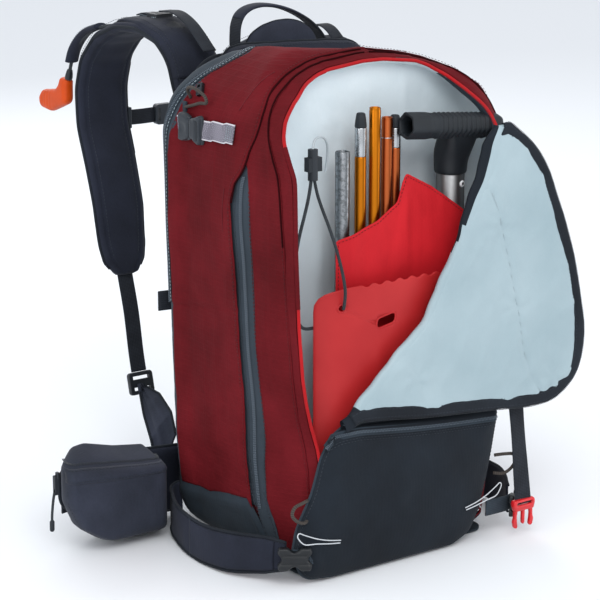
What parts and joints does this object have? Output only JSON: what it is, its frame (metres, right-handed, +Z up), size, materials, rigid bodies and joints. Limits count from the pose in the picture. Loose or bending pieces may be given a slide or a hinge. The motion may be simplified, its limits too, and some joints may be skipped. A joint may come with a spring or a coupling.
{
  "type": "ski backpack",
  "caption": "Upright ski touring backpack with its front panel peeled open over a tool compartment holding shovel and probe, with padded straps and hip belt.",
  "frame": {"origin": "on the floor under the middle of the base panel", "axes": "+Z up the pack, -Y out of the open tool compartment, +Y towards the wearer, -X the wearer's left"},
  "size_m": [0.5856, 0.5964, 0.5646],
  "materials": {
    "red_fabric": "wine-red ripstop nylon, matt",
    "pale_lining": "pale ice-grey coated lining",
    "navy_fabric": "dark navy-charcoal packcloth",
    "slate_fabric": "slate grey packcloth",
    "foam_mesh": "spacer mesh over foam",
    "dark_webbing": "woven nylon webbing, dark",
    "grey_webbing": "herringbone webbing, grey with pale edges",
    "slate_plastic": "moulded acetal, matt",
    "charcoal_plastic": "moulded nylon, matt",
    "red_plastic": "moulded acetal, red",
    "blade_red": "red powder coat, satin",
    "sleeve_red": "bright red coated nylon",
    "orange_plastic": "orange soft-touch moulding",
    "anodised_gold": "gold anodised tube",
    "anodised_copper": "copper anodised tube",
    "bare_aluminium": "satin aluminium",
    "cord_dark": "braided cord, dark",
    "white_plastic": "white button",
    "hdpe": "polyethylene sheet",
    "airbag_fabric": "folded coated nylon",
    "steel": "steel",
    "zinc": "cast zinc slider"
  },
  "bodies": {
    "pack": {"main_bag": "red_fabric", "front_gusset": "red_fabric", "compartment_lining": "pale_lining", "base_panel": "navy_fabric", "lower_front_pocket": "navy_fabric", "front_panel_fixed": "navy_fabric", "tool_sleeve": "sleeve_red", "frame_sheet": "hdpe", "frame_stays": "bare_aluminium", "folded_airbag": "airbag_fabric", "inflator_unit": "charcoal_plastic", "gas_cartridge": "steel", "back_panel": "foam_mesh", "back_pads": "foam_mesh", "top_collar": "navy_fabric", "shoulder_strap_l": "navy_fabric", "shoulder_strap_r": "navy_fabric", "shoulder_yoke": "navy_fabric", "load_lifter_webbing": "grey_webbing", "lower_webbing": "dark_webbing", "ladder_locks": "charcoal_plastic", "stabiliser_fins": "slate_fabric", "trigger_cable": "cord_dark", "side_zips": "slate_fabric", "compression_webbing": "grey_webbing", "compression_females": "slate_plastic", "ski_loops": "slate_fabric", "ski_loop_buckles": "slate_plastic"},
    "flap": {"front_flap": "pale_lining", "flap_binding": "navy_fabric"},
    "blade": {"shovel_blade": "blade_red", "blade_cord": "cord_dark", "toggle": "charcoal_plastic", "toggle_leash": "cord_dark"},
    "handle": {"shovel_shaft": "bare_aluminium", "shovel_grip": "charcoal_plastic"},
    "handle_button": {"shovel_button": "white_plastic"},
    "probe": {"probe_tubes_gold": "anodised_gold", "probe_tubes_copper": "anodised_copper", "probe_ferrules": "bare_aluminium"},
    "extension": {"handle_extension": "bare_aluminium"},
    "grab": {"grab_handle": "dark_webbing"},
    "trigger": {"trigger_handle": "orange_plastic"},
    "sternum": {"sternum_webbing": "dark_webbing", "sternum_buckle_female": "charcoal_plastic", "sternum_buckle_male": "charcoal_plastic"},
    "wing_l": {"hip_wing_l": "navy_fabric", "hip_pocket": "navy_fabric", "hip_webbing_l": "dark_webbing", "hip_buckle_male": "charcoal_plastic"},
    "wing_r": {"hip_wing_r": "navy_fabric", "hip_webbing_r": "dark_webbing", "hip_buckle_female": "charcoal_plastic"},
    "hip_puller": {"hip_zip_puller": "zinc"},
    "compression_l": {"compression_male_l": "slate_plastic"},
    "compression_r": {"compression_male_r": "slate_plastic"},
    "access_slider": {"main_zip_slider": "zinc"},
    "front_slider": {"front_zip_slider": "zinc"},
    "hanging": {"hanging_strap": "dark_webbing", "red_buckle_male": "red_plastic"}
  },
  "joints": [
    {"name": "flap_hinge", "type": "hinge", "parent": "pack", "child": "flap", "pos_m": [-0.09, -0.1385, 0.16], "axis": [0.5831, 0.0113, 0.8123], "range_deg": [-150, 0]},
    {"name": "blade_lift", "type": "slide", "parent": "pack", "child": "blade", "axis": [0, 0, 1], "range_m": [0, 0.025]},
    {"name": "handle_lift", "type": "slide", "parent": "pack", "child": "handle", "axis": [0, 0, 1], "range_m": [0, 0.02]},
    {"name": "handle_button_push", "type": "slide", "parent": "handle", "child": "handle_button", "axis": [-0.5501, 0.8351, 0], "range_m": [0, 0.0025], "stiffness_N_per_m": 400, "springref_m": -0.001},
    {"name": "probe_lift", "type": "slide", "parent": "pack", "child": "probe", "axis": [0, 0, 1], "range_m": [0, 0.025]},
    {"name": "extension_lift", "type": "slide", "parent": "pack", "child": "extension", "axis": [0, 0, 1], "range_m": [0, 0.04]},
    {"name": "grab_handle_fold", "type": "hinge", "parent": "pack", "child": "grab", "pos_m": [0, 0.1035, 0.521], "axis": [1, 0, 0], "range_deg": [-25, 25]},
    {"name": "trigger_pull", "type": "slide", "parent": "pack", "child": "trigger", "axis": [0, 0.37, -0.929], "range_m": [0, 0.02]},
    {"name": "sternum_height", "type": "slide", "parent": "pack", "child": "sternum", "axis": [0, 0.223, 0.9748], "range_m": [-0.012, 0.012]},
    {"name": "hip_wing_l_fold", "type": "hinge", "parent": "pack", "child": "wing_l", "pos_m": [-0.121, 0.124, 0], "axis": [0, 0, 1], "range_deg": [-24, 4]},
    {"name": "hip_wing_r_fold", "type": "hinge", "parent": "pack", "child": "wing_r", "pos_m": [0.121, 0.124, 0], "axis": [0, 0, 1], "range_deg": [-4, 24]},
    {"name": "hip_puller_swing", "type": "hinge", "parent": "wing_l", "child": "hip_puller", "pos_m": [-0.304, 0.078, 0.093], "axis": [0, -1, 0], "range_deg": [-50, 0]},
    {"name": "compression_release_l", "type": "slide", "parent": "pack", "child": "compression_l", "axis": [0, -1, 0], "range_m": [0, 0.012]},
    {"name": "compression_release_r", "type": "slide", "parent": "pack", "child": "compression_r", "axis": [0, -1, 0], "range_m": [0, 0.012]},
    {"name": "access_slider_run", "type": "slide", "parent": "pack", "child": "access_slider", "axis": [0, -0.8, 0.6], "range_m": [0, 0.01]},
    {"name": "front_slider_run", "type": "slide", "parent": "pack", "child": "front_slider", "axis": [-0.5, 0.4, 0.7681], "range_m": [0, 0.008]},
    {"name": "hanging_strap_swing", "type": "hinge", "parent": "pack", "child": "hanging", "pos_m": [0.142, -0.135, 0.1465], "axis": [1, 0, 0], "range_deg": [-50, 0]}
  ]
}
